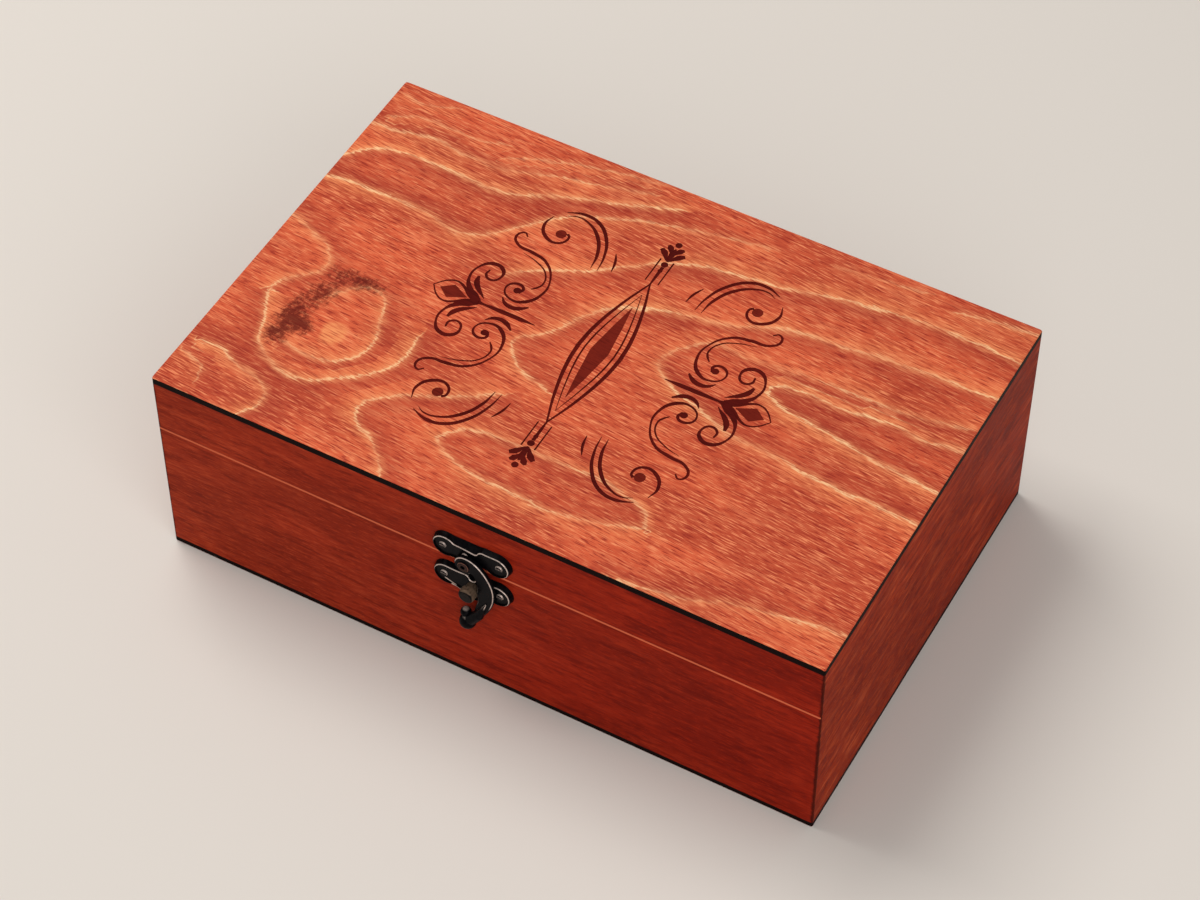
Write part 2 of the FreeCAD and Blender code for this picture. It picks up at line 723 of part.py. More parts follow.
def hinge_leaf(label, knuckles, up):
    sign = "" if up else "-"
    low, high = sorted([f"{sign}{WALL_REACH}", f"{sign}leaf_height"], key=mm)
    solids = [slab(f"{label}_sheet", f"-{OUTER}", OUTER, low, high)]
    for number, (start, end) in enumerate(knuckles):
        low, high = sorted(["0", f"{sign}{WALL_REACH}"], key=mm)
        solids.append(slab(f"{label}_strap{number}", start, end, low, high))
        solids.append(rod(f"{label}_knuckle{number}", start, end, "barrel_radius"))
    solid = doc.addObject("Part::MultiFuse", f"{label}_solid")
    solid.Shapes = solids
    solid.Refine = True
    holes = [rod(f"{label}_bore", f"-{OUTER} - 1", f"{OUTER} + 1", "hinge_pin_radius + hinge_pin_fit")]
    for number, side in enumerate(("-", "")):
        hole = (f"{side}hinge_screw_spacing / 2", f"{sign}{HINGE_SCREW_RISE}")
        holes.append(countersink(f"{label}_hole{number}", *hole))
    tool = doc.addObject("Part::MultiFuse", f"{label}_holes")
    tool.Shapes = holes
    leaf = doc.addObject("Part::Cut", label)
    leaf.Label = label
    leaf.Base = solid
    leaf.Tool = tool
    return leaf


HINGE_SCREW = ("hinge_screw_radius", "hinge_screw_head", "leaf_thickness", "hinge_screw_length")
for side, sign in (("left", "-"), ("right", "")):
    middle = f"{sign}{HINGE_MIDDLE}"
    for part, knuckles, up in (("case", CASE_KNUCKLES, False), ("lid", LID_KNUCKLES, True)):
        leaf = hinge_leaf(f"hinge_{side}_{part}_leaf", knuckles, up)
        place(leaf, x=middle, y=HINGE_REACH, z=HINGE_HEIGHT)
        screws = screw_pair(f"hinge_{side}_{part}_screws", "hinge_screw_spacing", *HINGE_SCREW, True)
        rise = f"{HINGE_HEIGHT} {'+' if up else '-'} {HINGE_SCREW_RISE}"
        place(screws, x=f"{middle} + hinge_screw_spacing / 2", y=f"{BACK} + leaf_thickness", z=rise, turn=180)
    ends = (f"-{OUTER} - hinge_pin_end", f"{OUTER} + hinge_pin_end")
    stock = rod(f"hinge_{side}_pin_stock", *ends, "hinge_pin_radius")
    doc.recompute()
    pin_piece = doc.addObject("Part::Fillet", f"hinge_{side}_pin")
    pin_piece.Label = f"hinge_{side}_pin"
    pin_piece.Base = stock
    rims = edges_at(stock.Shape, lambda at, along: along.Length < 1e-6)
    pin_piece.Edges = [(int(rim[4:]), mm("hinge_pin_end"), mm("hinge_pin_end")) for rim in rims]
    place(pin_piece, x=middle, y=HINGE_REACH, z=HINGE_HEIGHT)

doc.recompute()
failed = [obj.Name for obj in doc.Objects if {"Invalid", "Error"} & set(obj.State)]
if failed:
    raise RuntimeError(f"These objects failed: {failed}")
for piece in SUBPARTS:
    if piece.Shape.isNull() or not piece.Shape.isValid():
        raise RuntimeError(f"{piece.Label} has no valid shape")

os.makedirs("parts", exist_ok=True)
for piece in SUBPARTS:
    piece.Shape.exportStep(f"parts/{piece.Label}.step")
print(f"{len(SUBPARTS)} pieces written")
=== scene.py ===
# A stained wooden keepsake box with a hinged lid, an engraved plywood top and a small black cast
# latch on the front. Metres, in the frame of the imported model: the front looks along -Y, Z is up.
import math

import bmesh
import bpy
from mathutils import Matrix, Vector, kdtree, noise


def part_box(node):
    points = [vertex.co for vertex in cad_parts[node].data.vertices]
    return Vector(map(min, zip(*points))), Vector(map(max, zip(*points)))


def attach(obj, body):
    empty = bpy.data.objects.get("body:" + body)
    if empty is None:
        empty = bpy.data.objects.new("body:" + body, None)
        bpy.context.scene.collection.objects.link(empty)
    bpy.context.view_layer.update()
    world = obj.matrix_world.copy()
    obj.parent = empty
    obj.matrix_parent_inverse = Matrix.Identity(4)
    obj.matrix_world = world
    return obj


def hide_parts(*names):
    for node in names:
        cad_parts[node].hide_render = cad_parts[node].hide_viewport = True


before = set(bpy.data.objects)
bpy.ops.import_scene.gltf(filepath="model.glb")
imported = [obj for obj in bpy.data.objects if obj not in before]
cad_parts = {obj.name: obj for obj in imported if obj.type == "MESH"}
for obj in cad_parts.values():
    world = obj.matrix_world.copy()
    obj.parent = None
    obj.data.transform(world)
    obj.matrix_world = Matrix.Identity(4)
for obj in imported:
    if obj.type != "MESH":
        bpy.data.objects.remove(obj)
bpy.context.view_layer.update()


# THE WALLS AND RAILS. Solid birch boards, mitred at the corners and wiped with one red-brown stain
# under a thin satin oil. The stain leaves the fibres streaky, and runs darker to the right.
MM = 0.001


def tint(red, green, blue):
    """A colour as it looks on the screen, from 0 to 255, in the form that a shader takes."""
    color = []
    for part in (red / 255, green / 255, blue / 255):
        color.append(part / 12.92 if part < 0.04045 else ((part + 0.055) / 1.055) ** 2.4)
    return color + [1]


def fill_sockets(tree, made, feeds):
    """Fills a node's sockets in order with links or values. None leaves one as it is."""
    for socket, feed in zip(made.inputs, feeds):
        if isinstance(feed, bpy.types.NodeSocket):
            tree.links.new(feed, socket)
        elif feed is not None:
            socket.default_value = feed


def node(tree, kind, *feeds, **settings):
    """Adds a shader node, sets its properties and fills its sockets."""
    made = tree.nodes.new(f"ShaderNode{kind}")
    for name, value in settings.items():
        setattr(made, name, value)
    fill_sockets(tree, made, feeds)
    return made


def maths(tree, operation, first, second=0.0, third=0.0):
    return node(tree, "Math", first, second, third, operation=operation).outputs[0]


def product(tree, *values):
    total = values[0]
    for value in values[1:]:
        total = maths(tree, "MULTIPLY", total, value)
    return total


def step_up(tree, value, low, high, to_low=0.0, to_high=1.0):
    """Goes smoothly from to_low to to_high while the value goes from low to high."""
    ranges = (low, high, to_low, to_high)
    return node(tree, "MapRange", value, *ranges, interpolation_type="SMOOTHSTEP").outputs[0]


def mixed(tree, share, first, second):
    """A mix of two colours, whose sockets are the seventh and the eighth."""
    return node(tree, "Mix", share, *[None] * 5, first, second, data_type="RGBA").outputs[2]


def spots(tree, place, scale, detail=2.0, roughness=0.5):
    """Soft random spots, from 0 to 1 and mostly near 0.5."""
    return node(tree, "TexNoise", place, None, scale, detail, roughness).outputs[0]


def stretched(tree, place, along, across, up, turn=0.0):
    """The place after a turn about Z and a scale on each axis."""
    turned = node(tree, "Mapping", place, None, (0, 0, turn)).outputs[0]
    return node(tree, "Mapping", turned, None, None, (along, across, up)).outputs[0]


def new_group(name, inputs, outputs):
    """An empty node group. inputs and outputs are pairs of a name and a socket kind."""
    tree = bpy.data.node_groups.new(name, "ShaderNodeTree")
    for side, sockets in (("INPUT", inputs), ("OUTPUT", outputs)):
        for socket_name, kind in sockets:
            tree.interface.new_socket(socket_name, in_out=side, socket_type=f"NodeSocket{kind}")
    return tree, tree.nodes.new("NodeGroupInput").outputs, tree.nodes.new("NodeGroupOutput").inputs


def use_group(tree, group, *feeds):
    made = tree.nodes.new("ShaderNodeGroup")
    made.node_tree = group
    fill_sockets(tree, made, feeds)
    return made.outputs


# The flecks run a little askew to the board's length
FLECK_TURN = 0.09


def stained_fibres():
    """Stained birch with its grain along X: short flecks, longer streaks and soft cloudy patches.
    Flecks and Streaks say how strongly those show."""
    tree, given, made = new_group(
        "stained fibres",
        [("Place", "Vector"), ("Dark", "Color"), ("Mid", "Color"), ("Light", "Color")]
        + [("Flecks", "Float"), ("Streaks", "Float")],
        [("Color", "Color"), ("Roughness", "Float"), ("Height", "Float")],
    )
    place = given["Place"]
    fleck = spots(tree, stretched(tree, place, 150, 1900, 1900, FLECK_TURN), 1.0, 2.0, 0.65)
    streak = spots(tree, stretched(tree, place, 50, 420, 420, 0.05), 1.0, 3.0, 0.6)
    cloud = spots(tree, stretched(tree, place, 17, 42, 42, 0.1), 1.0, 3.0, 0.5)
    dull = product(tree, step_up(tree, streak, 0.5, 0.32), given["Streaks"])
    base = mixed(tree, dull, given["Mid"], given["Dark"])
    clear = product(tree, step_up(tree, streak, 0.5, 0.72), given["Streaks"])
    base = mixed(tree, clear, base, given["Light"])
    base = mixed(tree, step_up(tree, cloud, 0.38, 0.62, 0.45, 0.0), base, given["Dark"])
    pale = product(tree, step_up(tree, fleck, 0.52, 0.68), given["Flecks"])
    base = mixed(tree, pale, base, given["Light"])
    pores = product(tree, step_up(tree, fleck, 0.46, 0.34), given["Flecks"])
    base = mixed(tree, pores, base, given["Dark"])
    tree.links.new(base, made["Color"])
    tree.links.new(step_up(tree, fleck, 0.3, 0.7, 0.46, 0.6), made["Roughness"])
    tree.links.new(fleck, made["Height"])
    return tree


def scorched_corners():
    """A thin dark line where the mitred boards meet at the box's upright corners."""
    tree, given, made = new_group("scorched corners", [("Place", "Vector")], [("Corner", "Float")])
    low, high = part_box("bottom_panel")
    half = (high - low) / 2
    parts = node(tree, "SeparateXYZ", given["Place"]).outputs
    ragged = step_up(tree, spots(tree, given["Place"], 350.0), 0.3, 0.7, 0.7 * MM, 1.3 * MM)
    gaps = [
        maths(tree, "SUBTRACT", size, maths(tree, "ABSOLUTE", part))
        for part, size in zip(parts, half[:2])
    ]
    reach = maths(tree, "DIVIDE", maths(tree, "MAXIMUM", *gaps), ragged)
    tree.links.new(step_up(tree, reach, 0.4, 1.2, 1.0, 0.0), made["Corner"])
    return tree


FIBRES = stained_fibres()
CORNERS = scorched_corners()
BURNT = tint(16, 5, 4)
# Painted highlight for the boards' eased upper arris, where the light from above catches it
ARRIS_HIGHLIGHT = tint(232, 118, 80)
WOOD_GLOSS = 0.03


def new_material(name):
    """A material with its Principled shader and its texture coordinates."""
    material = bpy.data.materials.new(name)
    material.use_nodes = True
    tree = material.node_tree
    return material, tree, tree.nodes["Principled BSDF"], tree.nodes.new("ShaderNodeTexCoord").outputs


def relief(tree, shader, height, distance, strength):
    """Roughens the surface by a height between 0 and 1, which stands for the distance given."""
    bump = node(tree, "Bump", strength, distance, None, height)
    tree.links.new(bump.outputs[0], shader.inputs["Normal"])


def oiled(tree, shader, wood):
    """The satin of oiled wood: soft and not very glossy."""
    tree.links.new(wood["Roughness"], shader.inputs["Roughness"])
    shader.inputs["Specular IOR Level"].default_value = WOOD_GLOSS
    relief(tree, shader, wood["Height"], 0.04 * MM, 0.5)


def board_wood(name, quarter_turns, clear_end, deep_end, low, high):
    """Stained boards whose grain runs along X, or along Y after a quarter turn. Their colour goes
    from the clear end's to the deep end's between two places along the grain, and their sanded
    upper arris, which faces up, carries a painted highlight."""
    material, tree, shader, coordinates = new_material(name)
    place = coordinates["Object"]
    turn = quarter_turns * math.pi / 2
    along = stretched(tree, place, 1, 1, 1, turn)
    wander = spots(tree, stretched(tree, along, 12, 40, 40), 1.0, 2.0)
    where = maths(tree, "MULTIPLY_ADD", wander, 0.16, node(tree, "SeparateXYZ", along).outputs[0])
    share = step_up(tree, where, low, high)
    colors = [mixed(tree, share, clear, deep) for clear, deep in zip(clear_end, deep_end)]
    wood = use_group(tree, FIBRES, along, *colors, 0.5, 0.7)
    corner = use_group(tree, CORNERS, place)["Corner"]
    color = mixed(tree, product(tree, corner, 0.75), wood["Color"], BURNT)
    # Painted highlight: the arris that faces up is lightened as if lit from above
    rise = node(tree, "SeparateXYZ", coordinates["Normal"]).outputs[2]
    arris = product(tree, step_up(tree, rise, 0.15, 0.4), step_up(tree, rise, 0.97, 0.9))
    color = mixed(tree, product(tree, arris, 0.9), color, ARRIS_HIGHLIGHT)
    tree.links.new(color, shader.inputs["Base Color"])
    oiled(tree, shader, wood)
    return material


CLEAR_STAIN = (tint(116, 30, 14), tint(162, 51, 26), tint(192, 76, 44))
DEEP_STAIN = (tint(104, 16, 6), tint(145, 31, 12), tint(172, 46, 22))
SIDE_STAIN = (tint(104, 20, 6), tint(154, 44, 15), tint(206, 92, 50))
FAR_STAIN = (tint(92, 16, 5), tint(140, 36, 12), tint(182, 66, 34))
along_front = board_wood("stained birch along the front", 0, CLEAR_STAIN, DEEP_STAIN, -0.08, 0.2)
along_side = board_wood("stained birch along the sides", -1, SIDE_STAIN, FAR_STAIN, 0.0, 0.25)


def paint(material, *names):
    """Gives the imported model's own pieces their one material."""
    for name in names:
        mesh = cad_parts[name].data
        mesh.materials.clear()
        mesh.materials.append(material)


paint(along_front, "front_wall", "back_wall", "lid_front_rail", "lid_back_rail")
paint(along_side, "left_wall", "right_wall", "lid_left_rail", "lid_right_rail")


# THE BOTTOM PANEL. A laser-cut sheet of birch plywood glued on flush, so that its edges are
# scorched nearly black all round.
def edge_of_sheet(tree, normal, color):
    """Burns the faces of a sheet that stand upright."""
    rise = maths(tree, "ABSOLUTE", node(tree, "SeparateXYZ", normal).outputs[2])
    return mixed(tree, step_up(tree, rise, 0.45, 0.25), color, BURNT)


def bottom_wood():
    material, tree, shader, coordinates = new_material("stained plywood underneath")
    wood = use_group(tree, FIBRES, coordinates["Object"], *CLEAR_STAIN, 0.5, 0.5)
    color = edge_of_sheet(tree, coordinates["Normal"], wood["Color"])
    tree.links.new(color, shader.inputs["Base Color"])
    oiled(tree, shader, wood)
    return material


paint(bottom_wood(), "bottom_panel")


# THE LID PANEL. A sheet of rotary-cut birch plywood: its growth rings come to the surface as pale
# wandering lines, darker within, and as a knot near the left end. Its edges are scorched too, under
# a sanded arris. Places are in millimetres from the middle, x to the right and y to the back.

# How strongly each line shows, and its way, with the darker wood on its left
RING_LINES = [
    (0.8, [(-130, 6), (-120, 2), (-109, -4), (-105, -11), (-109, -17), (-116, -24), (-117, -30)]),
    (0.9, [(-59, -24), (-58, -36), (-63, -45), (-74, -54), (-84, -60), (-96, -60), (-105, -54),
           (-112, -40), (-117, -30)]),
    (0.8, [(-96, -21), (-90, -15), (-85, -12), (-79, -14), (-75, -24), (-71, -37), (-77, -46),
           (-90, -50), (-98, -49)]),
    (0.9, [(-124, -62), (-116, -62), (-110, -65), (-97, -68), (-92, -72), (-91, -78), (-95, -84)]),
    (0.35, [(-127, -69), (-120, -71), (-117, -73), (-116, -78)]),
    (1.0, [(-9, 75), (-25, 69), (-47, 61), (-63, 54), (-76, 51), (-91, 52), (-107, 52), (-121, 49),
           (-130, 40)]),
    (1.0, [(-130, 28), (-119, 30), (-103, 30), (-86, 29), (-70, 27), (-61, 33), (-50, 45),
           (-43, 52)]),
    (0.5, [(-43, 52), (-33, 57), (-16, 64), (-2, 68), (12, 71), (30, 73)]),
    (0.6, [(-130, 60), (-119, 61), (-105, 63), (-89, 62), (-76, 62), (-61, 67), (-40, 72),
           (-20, 77)]),
    (0.35, [(-124, 67), (-116, 70), (-100, 71), (-90, 71), (-80, 74)]),
    (0.4, [(-76, 68), (-60, 75), (-41, 80), (-20, 83)]),
    (0.3, [(-127, 78), (-118, 77), (-106, 81)]),
    (0.9, [(130, 66), (106, 68), (87, 67), (64, 64), (41, 59), (18, 55), (4, 51), (-10, 43),
           (-21, 34), (-37, 25), (-48, 17)]),
    (1.0, [(130, 48), (110, 47), (92, 46), (75, 44), (55, 42), (43, 38), (33, 33), (19, 31),
           (5, 27), (-7, 20)]),
    (0.8, [(-7, 20), (-16, 8), (-22, -2), (-29, -9), (-27, -14), (-18, -21), (-8, -24)]),
    (0.6, [(126, 30), (106, 27), (85, 26), (64, 25), (47, 23), (33, 23), (26, 18), (21, 12),
           (20, 5)]),
    (0.9, [(20, 5), (26, 0), (36, -4), (47, -8), (57, -11), (72, -12), (93, -15), (112, -15),
           (130, -16)]),
    (1.0, [(130, 20), (117, 19), (100, 20), (84, 18), (67, 18), (60, 16), (59, 12), (64, 9),
           (84, 6), (105, 2), (130, 0)]),
    (0.9, [(-20, -33), (-34, -42), (-45, -47), (-56, -55), (-60, -60), (-59, -66), (-48, -73),
           (-42, -79), (-38, -84)]),
    (0.8, [(-30, -61), (-23, -65), (-15, -68), (12, -70), (26, -69), (42, -65), (52, -60)]),
    (0.7, [(52, -60), (48, -55), (35, -51), (17, -50), (-3, -50), (-14, -51), (-25, -54),
           (-30, -61)]),
    (0.7, [(50, -86), (66, -83), (78, -81), (92, -75), (104, -73), (116, -71), (130, -69)]),
    (0.6, [(102, 78), (116, 80), (130, 82)]),
    (0.35, [(54, 77), (69, 79), (88, 81)]),
]
# Dark smudges round the knot, and one bright patch below zero: centre, reach and strength
KNOT_STAINS = [
    ((-97, -39), (7, 3.5), 1.1),
    ((-103, -47), (5, 5), 0.9),
    ((-104, -34), (5, 8), 0.9),
    ((-99, -22), (6, 7), 0.75),
    ((-91, -11), (12, 4.5), 0.85),
    ((-87, -37), (5, 5), -1.9),
]


def curve_mesh(points, steps, **profile):
    """The mesh of one smooth curve through places in millimetres, in so many steps from one to the
    next. A third number at a place is the profile's radius there."""
    curve = bpy.data.curves.new("stroke", "CURVE")
    curve.dimensions, curve.resolution_u = "3D", steps
    for name, value in profile.items():
        setattr(curve, name, value)
    spline = curve.splines.new("BEZIER")
    spline.bezier_points.add(len(points) - 1)
    for knot, (x, y, *radius) in zip(spline.bezier_points, points):
        knot.co = (x * MM, y * MM, 0)
        knot.radius = radius[0] if radius else 1
        knot.handle_left_type = knot.handle_right_type = "AUTO"
    holder = bpy.data.objects.new("stroke", curve)
    bpy.context.scene.collection.objects.link(holder)
    mesh = bpy.data.meshes.new_from_object(holder)
    bpy.data.objects.remove(holder)
    return mesh


RING_STEPS = 24


def ring_figure(mesh):
    """Stores at each corner of the sheet how far it lies to the left of the nearest line, how far
    it lies from it at all, and how strongly that line shows; then the knot's stains. The underside
    shows no lines, as its corners lie too far apart to carry them."""
    underside = min(vertex.co.z for vertex in mesh.vertices) + MM
    tree = kdtree.KDTree(sum(RING_STEPS * len(line) for _, line in RING_LINES))
    sides, strengths = [], []
    for strength, line in RING_LINES:
        points = [vertex.co.copy() for vertex in curve_mesh(line, RING_STEPS).vertices]
        for point, following in zip(points, points[1:]):
            along = following - point
            tree.insert(point, len(sides))
            sides.append(Vector((-along.y, along.x, 0)).normalized())
            strengths.append(strength)
    tree.balance()
    mesh.attributes.new("ring_figure", "FLOAT_VECTOR", "POINT")
    mesh.attributes.new("knot_stain", "FLOAT", "POINT")
    figure, stain = mesh.attributes["ring_figure"], mesh.attributes["knot_stain"]
    for vertex, lines, mark in zip(mesh.vertices, figure.data, stain.data):
        spot = Vector((vertex.co.x, vertex.co.y, 0))
        spot += noise.noise_vector(spot * 90).xy.to_3d() * 0.9 * MM
        nearest, number, gap = tree.find(spot)
        shown = strengths[number] if vertex.co.z > underside else 0
        lines.vector = (math.copysign(gap, (spot - nearest).dot(sides[number])), gap, shown)
        mark.value = sum(
            strength * math.exp(-(((spot.x / MM - x) / across) ** 2) - ((spot.y / MM - y) / along) ** 2)
            for (x, y), (across, along), strength in KNOT_STAINS
        )


# The panel's stain, and its rings: a crisp line in a soft glow, with paler wood outside it and
# darker wood inside. Then the knot's smudges and its bright patch
PANEL_STAIN = (tint(150, 48, 36), tint(214, 96, 62), tint(238, 142, 98))
CRISP_LINE = tint(247, 198, 146)
GLOW = tint(242, 158, 106)
PALE_OUTSIDE = tint(240, 148, 94)
DARK_INSIDE = tint(148, 48, 38)
SMUDGE = tint(96, 26, 20)
BRIGHT_PATCH = tint(240, 154, 98)


def panel_wood():
    material, tree, shader, coordinates = new_material("stained birch plywood with pale rings")
    place = coordinates["Object"]
    stored = node(tree, "Attribute", attribute_name="ring_figure").outputs["Vector"]
    side, gap, strength = node(tree, "SeparateXYZ", stored).outputs
    wood = use_group(tree, FIBRES, place, *PANEL_STAIN, 0.95, 0.45)
    broken = spots(tree, stretched(tree, place, 170, 800, 800, FLECK_TURN), 1.0, 3.0, 0.7)
    side = maths(tree, "MULTIPLY_ADD", maths(tree, "SUBTRACT", broken, 0.5), 4.5 * MM, side)
    aside = maths(tree, "ABSOLUTE", side)
    dashes = step_up(tree, wood["Height"], 0.4, 0.58, 0.35, 1.0)
    patchy = spots(tree, stretched(tree, place, 34, 60, 60), 1.0, 3.0)
    patchy = step_up(tree, patchy, 0.38, 0.6, 0.25, 1.0)
    crisp = step_up(tree, aside, 0.1 * MM, 0.9 * MM, 1.0, 0.0)
    near = step_up(tree, gap, 2.5 * MM, 4 * MM, 1.0, 0.0)
    crisp = product(tree, crisp, near, patchy, dashes, strength)
    glow = step_up(tree, aside, 0.3 * MM, 3.2 * MM, 1.0, 0.0)
    near = step_up(tree, gap, 3 * MM, 5 * MM, 1.0, 0.0)
    glow = product(tree, glow, near, dashes, strength, 0.5)
    outside = step_up(tree, side, 0.5 * MM, -0.5 * MM)
    outside = product(tree, step_up(tree, gap, 0.0, 10 * MM, 1.0, 0.0), outside)
    inside = step_up(tree, side, -0.3 * MM, 0.9 * MM)
    inside = product(tree, step_up(tree, gap, 0.0, 14 * MM, 1.0, 0.0), inside)
    color = mixed(tree, product(tree, inside, strength, 0.46), wood["Color"], DARK_INSIDE)
    outside = product(tree, outside, strength, patchy, dashes, 0.55)
    color = mixed(tree, outside, color, PALE_OUTSIDE)
    color = mixed(tree, glow, color, GLOW)
    stain = node(tree, "Attribute", attribute_name="knot_stain").outputs["Fac"]
    mottle = maths(tree, "SUBTRACT", spots(tree, place, 520.0, 5.0, 0.75), 0.5)
    smudge = step_up(tree, maths(tree, "MULTIPLY_ADD", mottle, 2.6, stain), 0.15, 1.05)
    smudge = product(tree, smudge, step_up(tree, stain, 0.0, 0.4), 0.9)
    color = mixed(tree, smudge, color, SMUDGE)
    patch = product(tree, step_up(tree, stain, -0.2, -1.0), dashes, 0.8)
    color = mixed(tree, patch, color, BRIGHT_PATCH)
    color = mixed(tree, crisp, color, CRISP_LINE)
    color = edge_of_sheet(tree, coordinates["Normal"], color)
    tree.links.new(color, shader.inputs["Base Color"])
    oiled(tree, shader, wood)
    return material


def engraved_wood(name, base, dark):
    """The floor of the engraving, toasted by the laser."""
    material, tree, shader, coordinates = new_material(name)
    wood = use_group(tree, FIBRES, coordinates["Object"], dark, base, base, 0.6, 0.5)
    tree.links.new(wood["Color"], shader.inputs["Base Color"])
    shader.inputs["Roughness"].default_value = 0.8
    shader.inputs["Specular IOR Level"].default_value = 0.05
    relief(tree, shader, wood["Height"], 0.05 * MM, 0.6)
    return material


# The ornament is engraved by laser: scrolls, leaves and finials round a plain spindle. A stroke is
# a tapering groove through places from the ornament's centre, each with half the width of the
# laser's path there; the charred groove spreads a little wider.
ORNAMENT_CENTRE = Vector((-0.5, 0.5, 0)) * MM
ENGRAVING = 0.35 * MM
SPREAD = 1.15
LINE, FIELD = 1, 2
ONCE = [(1, 1)]
FOUR_WAYS = [(1, 1), (-1, 1), (1, -1), (-1, -1)]
LEFT_AND_RIGHT = [(1, 1), (-1, 1)]
FRONT_AND_BACK = [(1, 1), (1, -1)]
CORNER_SCROLLS = [
    [(19.6, 33.5, 0.1), (20.6, 40.4, 0.4), (24.2, 48.8, 0.6), (30.7, 54.8, 0.65),
     (37.2, 55.8, 0.6), (43, 53.8, 0.15)],
    [(22.2, 33.5, 0.1), (23.3, 40.4, 0.55), (27.6, 48.4, 0.65), (34.1, 53, 0.4), (38.8, 53.6, 0.3),
     (41.9, 52.2, 0.1)],
    [(15, 35.6, 0.15), (15.7, 39.6, 0.45), (16.6, 42, 0.4), (17.7, 44.2, 0.12)],
    [(46.2, 49.8, 0.12), (47.3, 44.8, 0.5), (44.1, 39.6, 0.65), (38.5, 38.7, 0.5),
     (36.3, 43, 0.42), (37.6, 44.4, 0.5)],
]
SIDE_SCROLLS = [
    [(49.3, 36.1, 0.25), (51.3, 37.5, 0.35), (53.2, 34.7, 0.45), (50.2, 31.1, 0.5),
     (44.1, 30.3, 0.65), (37.2, 28.3, 0.5), (31.5, 20.7, 0.3), (31, 14, 0.45), (34.3, 8.2, 0.7),
     (39.5, 6.7, 0.4), (43.8, 10.4, 0.3), (42, 14.1, 0.5), (38, 13.3, 0.5), (38.8, 10.6, 0.6)],
    [(46.8, 28.6, 0.08), (40.6, 27, 0.25), (35, 23.6, 0.28), (33.1, 18.4, 0.3), (34, 16.2, 0.4),
     (35.6, 14.4, 0.2)],
    [(42.5, 6.3, 0.15), (40.6, 4.3, 0.6), (37.8, 3.4, 0.8), (35, 4, 0.85), (31.9, 6.3, 0.3)],
]
FLEURS = [
    [(48.9, 0.2, 1.0), (51.6, 2.1, 1.3), (54.4, 4, 1.0), (57.5, 8.5, 0.45), (57.4, 14.6, 0.35),
     (53.4, 18.8, 0.75), (48.9, 17.8, 0.7), (47.7, 14.6, 0.4), (49.9, 11.5, 0.45),
     (53, 12.8, 0.45), (53, 15.6, 0.3)],
    [(54.9, 11.1, 0.45), (54.1, 8.2, 0.95), (52, 5.6, 0.85), (49.9, 4, 0.5), (47.8, 2.3, 0.1)],
    [(67, 0, 0.2), (63.4, 4, 0.3), (60.3, 5.2, 0.35), (57.9, 4.65, 0.45), (52.3, 0.8, 0.6),
     (48.9, 0, 0.4)],
]
SPEARS = [
    [(48.9, 0, 0.9), (46.8, 0, 0.45), (41.9, 0, 0.7), (39.2, 0, 0.85), (31.5, 0, 0.8),
     (25.8, 0, 0.15)],
]
LOZENGES = [[(64.3, 0, 0.1), (60, 0, 2.9), (53.4, 0, 0.1)]]
FINIAL_PAIRS = [
    [(3.1, 57.3, 0.5), (2, 56.2, 1.1), (0.2, 53.3, 0.3)],
    [(4.7, 54.6, 0.7), (2.9, 53.2, 1.1), (0.6, 50, 0.3)],
    [(2.6, 50, 0.28), (2.6, 38, 0.22)],
]
FINIAL_MIDDLES = [
    [(0, 56.5, 0.3), (0, 54, 1.1), (0, 49.5, 0.5)],
    [(0, 46.4, 0.6), (0, 41, 0.5), (0, 37, 0.3)],
]
SPINDLE_OUTLINES = [
    [(0, 37, 0.3), (4.2, 24, 0.5), (7.4, 9, 0.65), (8.1, 0, 0.7)],
    [(0, 31, 0.1), (3, 19, 0.22), (5.2, 7, 0.3), (5.7, 0, 0.3)],
]
SPINDLE_FIELDS = [[(0, 24, 0.1), (0, 12, 1.7), (0, 0, 3), (0, -12, 1.7), (0, -24, 0.1)]]
# The pieces of the ornament: how they are repeated, what their floor is like, strokes and dots
ORNAMENT = [
    (FOUR_WAYS, LINE, CORNER_SCROLLS + SIDE_SCROLLS + FLEURS, [(39.5, 11.5, 1.4)]),
    (FOUR_WAYS, FIELD, [], [(39.6, 43.2, 2.05)]),
    (LEFT_AND_RIGHT, LINE, SPEARS, []),
    (LEFT_AND_RIGHT, FIELD, LOZENGES, []),
    (FOUR_WAYS, LINE, FINIAL_PAIRS + SPINDLE_OUTLINES, []),
    (FRONT_AND_BACK, LINE, FINIAL_MIDDLES, [(0, 58.7, 1.3), (0, 47.8, 1.35), (0, 44.4, 0.9)]),
    (ONCE, FIELD, SPINDLE_FIELDS, []),
]


def groove(points, kind):
    """A closed tapering sliver through the points, whose lower half cuts the groove."""
    places = [(x, y, half_width * SPREAD) for x, y, half_width in points]
    round_profile = {"bevel_depth": MM, "bevel_resolution": 2, "use_fill_caps": True}
    mesh = curve_mesh(places, 6, **round_profile)
    widest = max(half_width for *_, half_width in places) * MM
    mesh.transform(Matrix.Diagonal((1, 1, ENGRAVING / widest, 1)))
    for facet in mesh.polygons:
        facet.material_index = kind
    return mesh


def dot(x, y, radius, kind):
    """A closed lens that cuts a round hollow."""
    form = bmesh.new()
    bmesh.ops.create_uvsphere(form, u_segments=24, v_segments=8, radius=radius * MM)
    bmesh.ops.scale(form, vec=(1, 1, ENGRAVING / (radius * MM)), verts=form.verts)
    bmesh.ops.translate(form, vec=(x * MM, y * MM, 0), verts=form.verts)
    for facet in form.faces:
        facet.material_index = kind
    mesh = bpy.data.meshes.new("dot")
    form.to_mesh(mesh)
    form.free()
    return mesh


